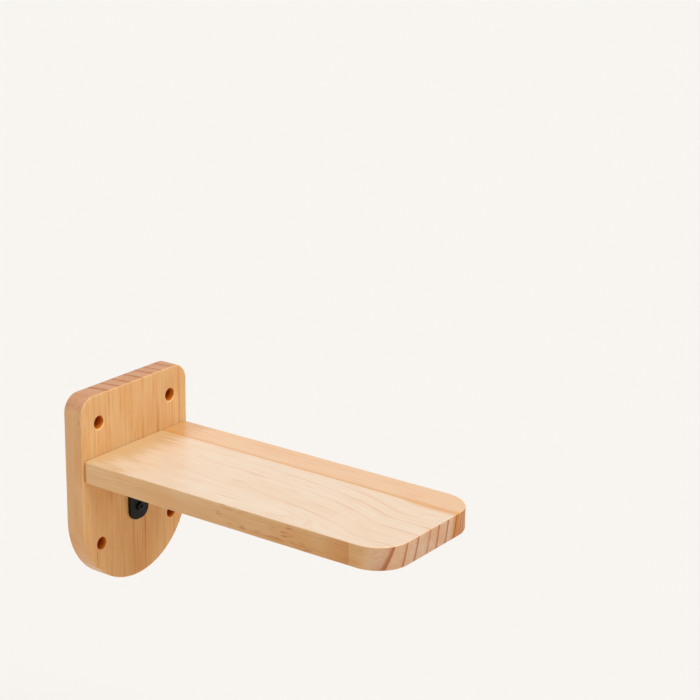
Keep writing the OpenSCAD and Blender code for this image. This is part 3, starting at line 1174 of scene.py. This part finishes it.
@dataclass
class BackPlate:
    """Pine plate on the wall, with a half-round foot and four pocketed screw holes.

    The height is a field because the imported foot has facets, so that its box ends above the true foot. The
    ease is the rounded mouth of a pocket: how much wider than the pocket it is, and how deep, at each step.
    """

    finish: Pine
    drilled: DrilledPine
    sanded: DrilledPine
    height: float = 174.5
    corner: float = 15.0
    edge: float = 1.0
    wall_holes: tuple[float, float] = (44.0, 53.5)
    pocket: float = 5.75
    pocket_floor: float = 10.0
    ease: Steps = ((0.7, 0.0), (0.35, 0.1), (0.1, 0.35), (0.0, 0.7))
    hole: float = 2.75
    rear_screw: tuple[float, float] = (25.0, 15.5)
    rear_hole: float = 2.3
    sink: float = 4.55
    sink_land: float = 0.5
    sink_depth: float = 2.75
    dowel: tuple[float, float] = (47.0, 15.5)
    dowel_hole: float = 4.05
    dowel_floor: float = 8.0
    leg_screws: tuple[float, float] = (-11.5, -33.5)
    leg_hole: float = 2.05
    leg_floor: float = 6.0

    def bores(self, thickness: float) -> tuple[Bore, ...]:
        """Holes of the plate: wall screws with eased pockets, countersunk screws, dowels and bracket screws.

        Args:
            thickness: Thickness of the plate.

        Returns:
            All bores, each from its mouth in the front face backwards.
        """
        mouth = [(self.pocket + wider, thickness - deep) for wider, deep in self.ease]
        pocket = (*mouth, (self.pocket, self.pocket_floor), (self.hole, self.pocket_floor), (self.hole, 0.0))
        across, up = self.wall_holes
        eased = len(self.ease) - 1
        wall = [Bore((side * across, level * up), pocket, eased) for side in SIDES for level in SIDES]
        sink = ((self.rear_hole, self.sink_depth), (self.sink, self.sink_land), (self.sink, 0.0))
        pairs = (
            (self.rear_screw, ((self.rear_hole, thickness), *sink)),
            (self.dowel, self._blind(self.dowel_hole, thickness, self.dowel_floor)),
        )
        joints = [Bore((side * across, up), steps) for (across, up), steps in pairs for side in SIDES]
        leg = self._blind(self.leg_hole, thickness, self.leg_floor)
        return (*wall, *joints, *(Bore((0.0, level), leg) for level in self.leg_screws))

    def _blind(self, radius: float, mouth: float, floor: float) -> Steps:
        """Steps of a blind bore, from its mouth to the middle of its floor."""
        return ((radius, mouth), (radius, floor), (0.0, floor))

    def build(self) -> bpy.types.Object:
        """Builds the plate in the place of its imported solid.

        Returns:
            The dressed plate.
        """
        low, high = node_box("back_plate")
        thickness = float(high[1] - low[1])
        foot = float(high[0] - low[0]) / 2
        slab = Slab(
            (low[0], high[2] - self.height),
            (high[0], high[2]),
            (foot, foot, self.corner, self.corner),
            thickness,
            self.edge,
            BOARD_STEP,
            self.bores(thickness),
            wander=WANDER,
            mouth_finish=EXTRA,
        )
        skin = Skin("pine_back_plate")
        slab.cover(skin, lambda own: own[..., [0, 2, 1]] * np.array([1, -1, 1]))
        piece = skin.make([self.finish.make(), self.drilled.make(), self.sanded.make()])
        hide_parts("back_plate")
        return piece


@dataclass
class ShelfBoard:
    """Pine board that stands square out of the plate, with two rounded corners at its free end.

    Each bore of the butt is the place across, the radius and the depth of a mirrored pair.
    """

    finish: Pine
    drilled: DrilledPine
    rim: Pine
    corner: float = 28.0
    edge: float = 1.0
    butt: float = 0.5
    heel: float = 1.6
    rear_screw: tuple[float, float, float] = (25.0, 2.3, 32.5)
    dowel: tuple[float, float, float] = (47.0, 4.05, 21.0)
    leg_screws: tuple[float, float] = (-36.5, -58.5)
    leg_hole: float = 2.05
    leg_depth: float = 13.0

    def build(self) -> bpy.types.Object:
        """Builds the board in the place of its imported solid.

        Returns:
            The dressed board.
        """
        low, high = node_box("shelf_board")
        thickness = float(high[2] - low[2])
        leg = ((0.0, self.leg_depth), (self.leg_hole, self.leg_depth), (self.leg_hole, 0.0))
        butt_bores = tuple(
            Bore((side * across, thickness / 2), ((radius, 0.0), (radius, -deep), (0.0, -deep)))
            for across, radius, deep in (self.rear_screw, self.dowel)
            for side in SIDES
        )
        slab = Slab(
            (low[0], low[1]),
            (high[0], high[1]),
            (self.corner, self.corner, self.heel + CORNER_ROOM, self.heel + CORNER_ROOM),
            thickness,
            self.edge,
            BOARD_STEP,
            tuple(Bore((0.0, way), leg) for way in self.leg_screws),
            self.butt,
            butt_bores,
            heel_edge=self.heel,
            wander=WANDER,
            rim_finish=EXTRA,
        )
        skin = Skin("pine_shelf_board")
        slab.cover(skin, lambda own: own + np.array([0, 0, low[2]]))
        piece = skin.make([self.finish.make(), self.drilled.make(), self.rim.make()])
        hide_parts("shelf_board")
        return piece


@dataclass
class CornerBracket:
    """Black steel angle in the corner under the shelf: a strip with rounded ends, folded square.

    The net is a grid of points that lets the flat faces follow the bend: its counts across and along, its
    reach to each side, and how far it runs past the bend.
    """

    finish: BlackCoat
    corner: float = 9.5
    edge: float = 0.7
    edge_steps: int = 4
    step: float = 1.0
    bend_outside: float = 6.0
    thickness: float = 3.0
    hole: float = 2.3
    hole_bevel: float = 0.3
    screws: tuple[float, float] = (17.5, 39.5)
    net_counts: tuple[int, int] = (10, 14)
    net_side: float = 9.0
    net_past: float = 1.0

    def fold(self, own: np.ndarray, corner: np.ndarray) -> np.ndarray:
        """Folds the flat strip: the stretch over the bend turns about its centre, and the ends stay straight.

        Args:
            own: Points of the flat strip: across, along from the start of the bend, and out from the wood.
            corner: Line where plate and shelf meet, as its place along Y and Z.

        Returns:
            Points in the part's frame.
        """
        along, out = own[..., 1], own[..., 2]
        arc = self.bend_outside * math.pi / 2
        angle = np.clip(along, 0, arc) / self.bend_outside
        radius = self.bend_outside - out
        y = corner[0] - self.bend_outside + radius * np.cos(angle) - np.maximum(along - arc, 0)
        z = corner[1] - self.bend_outside + radius * np.sin(angle) + np.minimum(along, 0)
        return np.stack([own[..., 0], y, z], axis=-1)

    def build(self) -> bpy.types.Object:
        """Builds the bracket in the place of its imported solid.

        Returns:
            The dressed bracket.
        """
        low, high = node_box("corner_bracket")
        arc = self.bend_outside * math.pi / 2
        leg = float(high[2] - low[2]) - self.bend_outside
        places = [self.bend_outside - screw for screw in self.screws]
        places += [arc - place for place in places]
        rim = ((self.hole + self.hole_bevel, self.thickness), (self.hole, self.thickness - self.hole_bevel))
        slab = Slab(
            (low[0], -leg),
            (high[0], arc + leg),
            (self.corner,) * 4,
            self.thickness,
            self.edge,
            self.step,
            tuple(Bore((0.0, place), (*rim, (self.hole, 0.0)), len(rim)) for place in places),
            edge_steps=self.edge_steps,
        )
        across, along = np.meshgrid(
            np.linspace(-self.net_side, self.net_side, self.net_counts[0]),
            np.linspace(-self.net_past, arc + self.net_past, self.net_counts[1]),
        )
        net = np.column_stack([across.ravel(), along.ravel()])
        skin = Skin("steel_corner_bracket")
        slab.cover(skin, lambda own: self.fold(own, high[1:]), net)
        piece = skin.make([self.finish.make()])
        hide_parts("corner_bracket")
        return piece


@dataclass
class Fasteners:
    """Screws and dowels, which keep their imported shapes."""

    black: BlackCoat
    zinc: ZincPlate
    beech: Beech

    def dress(self) -> list[bpy.types.Object]:
        """Gives each packed fastener its finish.

        Returns:
            The dressed fasteners.
        """
        finishes = {"bracket_screw": self.black, "rear_screw": self.zinc, "dowel": self.beech}
        materials = {start: finish.make() for start, finish in finishes.items()}
        dressed = []
        for name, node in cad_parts.items():
            for start, material in materials.items():
                if name.startswith(start):
                    node.data.materials.clear()
                    node.data.materials.append(material)
                    dressed.append(node)
        return dressed


@dataclass(frozen=True)
class Lamp:
    """Broad distant lamp: its strength, the way towards it and the angle that it spans, in degrees."""

    name: str
    strength: float
    toward: tuple[float, float, float]
    span: float


@dataclass
class Studio:
    """Pale floor, soft light and the camera: places in metres, angles in degrees."""

    floor: Finish = PaleFloor()
    floor_level: float = -0.45
    floor_reach: float = 20.0
    pale: str = "#f8f5f1"
    sky: float = 0.2
    lamps: tuple[Lamp, ...] = (
        Lamp("front_lamp", 3.1, (0.06, -0.46, 0.88), 60.0),
        Lamp("side_lamp", 0.8, (-0.84, -0.22, 0.5), 80.0),
    )
    azimuth: float = -54.456
    elevation: float = 17.946
    roll: float = 0.899
    distance: float = 1.721648
    target: tuple[float, float, float] = (0.193175, -0.1, 0.071846)
    focal_px: float = 1946.954
    frame_px: float = 700.0
    sensor: float = 36.0
    sight: float = 100.0

    def build(self) -> None:
        """Builds the floor, the light and the camera."""
        self._floor()
        self._light()
        self._camera()

    def _floor(self) -> None:
        """Wide floor under the part."""
        corners = self.floor_reach * np.array([(-1, -1), (1, -1), (1, 1), (-1, 1)])
        mesh = bpy.data.meshes.new("floor")
        points = np.column_stack([corners, np.full(4, self.floor_level)])
        mesh.from_pydata(points.tolist(), [], [(0, 1, 2, 3)])
        mesh.materials.append(self.floor.make())
        floor = bpy.data.objects.new("floor", mesh)
        bpy.context.scene.collection.objects.link(floor)

    def _light(self) -> None:
        """Even sky, a broad soft lamp from above and in front, and a weak one from the left."""
        world = bpy.data.worlds.new("studio")
        world.use_nodes = True
        tree = world.node_tree
        tree.nodes.clear()
        dim = (self.sky, self.sky, self.sky, 1.0)
        colour = add_node(tree, "Mix", (seen(tree), dim, linear(self.pale)), data_type="RGBA")
        sky = add_node(tree, "Background", {"Color": colour})
        add_node(tree, "OutputWorld", {"Surface": sky})
        bpy.context.scene.world = world
        for lamp in self.lamps:
            light = bpy.data.lights.new(lamp.name, "SUN")
            light.energy = lamp.strength
            light.angle = math.radians(lamp.span)
            sun = bpy.data.objects.new(lamp.name, light)
            sun.rotation_euler = Vector(lamp.toward).to_track_quat("Z", "Y").to_euler()
            bpy.context.scene.collection.objects.link(sun)

    def _camera(self) -> None:
        """Camera at the photograph's angle: it looks past the part, which stands low on the left."""
        turn, lift, roll = (math.radians(angle) for angle in (self.azimuth, self.elevation, self.roll))
        back = Vector((math.sin(turn) * math.cos(lift), -math.cos(turn) * math.cos(lift), math.sin(lift)))
        level = Vector((0, 0, 1)).cross(back).normalized()
        upright = back.cross(level)
        right = math.cos(roll) * level + math.sin(roll) * upright
        up = back.cross(right)
        data = bpy.data.cameras.new("camera")
        data.sensor_width = self.sensor
        data.lens = self.focal_px / self.frame_px * self.sensor
        data.clip_end = self.sight
        camera = bpy.data.objects.new("camera", data)
        place = Matrix((right, up, back)).transposed().to_4x4()
        place.translation = Vector(self.target) + self.distance * back
        camera.matrix_world = place
        bpy.context.scene.collection.objects.link(camera)
        bpy.context.scene.camera = camera


PLATE_PINE = Pine(
    "lacquered_plate_pine_matt",
    Grain.UPRIGHT,
    Lacquer.SOAKED,
    pith=(-260.0, -60.0),
    rings=(180.0, 197.0, 214.9, 232.6, 246.0, 258.7, 273.6, 287.0, 297.8, 310.7, 319.6, 335.0),
    vigour=(
        *((180.0, 0.6), (236.0, 0.6), (240.0, 0.3), (247.0, 0.3), (250.0, 0.9)),
        *((276.0, 0.9), (280.0, 0.4), (299.0, 0.5), (301.0, 0.75), (335.0, 0.75)),
    ),
    cut_vigour=((180.0, 0.1), (222.0, 0.1), (230.0, 0.62), (335.0, 0.62)),
    broad=Tone("#dbb482", "#c7863f"),
    edge=Tone("#d5b087", "#be8b58"),
    end=Tone("#c49776", "#8a3e0c"),
    resin=Resin(0.45, 70.0, 20.0),
    low_end=(0.88, 1.0),
    pitch=Pitch(29.6, 2.4, 25.0, 38.0, "#e2b070"),
)
SHELF_PINE = Pine(
    "lacquered_shelf_pine_film",
    Grain.OUTWARD,
    Lacquer.FILM,
    pith=(-260.0, -85.0),
    rings=(
        *(201.0, 220.3, 232.9, 247.1, 262.7, 274.4, 286.6, 297.9, 300.1, 302.5),
        *(305.0, 307.4, 310.4, 313.8, 318.2, 323.1, 328.5, 340.0),
    ),
    vigour=((201.0, 0.5), (288.0, 0.5), (293.0, 0.6), (299.0, 0.6), (302.0, 0.25), (340.0, 0.25)),
    cut_vigour=(
        *((201.0, 0.75), (222.0, 0.75), (226.0, 0.72), (255.0, 0.72)),
        *((262.7, 0.45), (268.0, 0.75), (340.0, 0.75)),
    ),
    broad=Tone("#dec7ae", "#cf8a3e"),
    edge=Tone("#dbbe98", "#c08b58"),
    end=Tone("#c8ae99", "#944608"),
    resin=Resin(0.45, -203.0, 60.0),
    sweep=Sweep(25.0, -280.0, 52.0, (-63.0, -42.0), (34.0, 27.0)),
    border=Border(297.9, "#f4cb89", "#fbe3c5"),
    # The darker run before the corner is partly painted shade.
    sanding=Sanding(-284.6),
    # Painted shade and reflection by the plate on the broad faces, and painted contact shadow in the seam.
    joint=Joint(-19.0),
    pauses=0.1,
    fibre=0.4,
)
SHELF_RIM = replace(SHELF_PINE, name="lacquered_shelf_pine_matt", lacquer=Lacquer.SOAKED)
# Tones of the bores: partly bare end grain, partly painted shade and warm bounce light in the holes.
DRILLED_PINE = DrilledPine("drilled_pine", "#e08a20", "#ac4c08")
SANDED_PINE = DrilledPine("sanded_pine", "#ecc494", "#d89c5e")
POWDER_COAT = BlackCoat("black_powder_coat", "#0f0f0f", "#171716", 0.8, (0.45, 0.58), 0.12)
BLACK_OXIDE = BlackCoat("black_oxide_steel", "#0e0e0f", "#161617", 0.4, (0.35, 0.48), 0.05)


def main() -> None:
    """Builds the studio and each sub-assembly in order, and reports each piece."""
    logging.basicConfig(level=logging.INFO, format="%(name)s: %(message)s")
    bpy.context.scene.view_settings.view_transform = "Standard"
    Studio().build()
    for assembly in (
        BackPlate(PLATE_PINE, DRILLED_PINE, SANDED_PINE),
        ShelfBoard(SHELF_PINE, DRILLED_PINE, SHELF_RIM),
        CornerBracket(POWDER_COAT),
    ):
        piece = assembly.build()
        LOG.info("%s: %d faces", piece.name, len(piece.data.polygons))
    for node in Fasteners(BLACK_OXIDE, ZincPlate(), Beech()).dress():
        LOG.info("%s: packed shape, %s", node.name, node.data.materials[0].name)


if __name__ == "__main__":
    main()
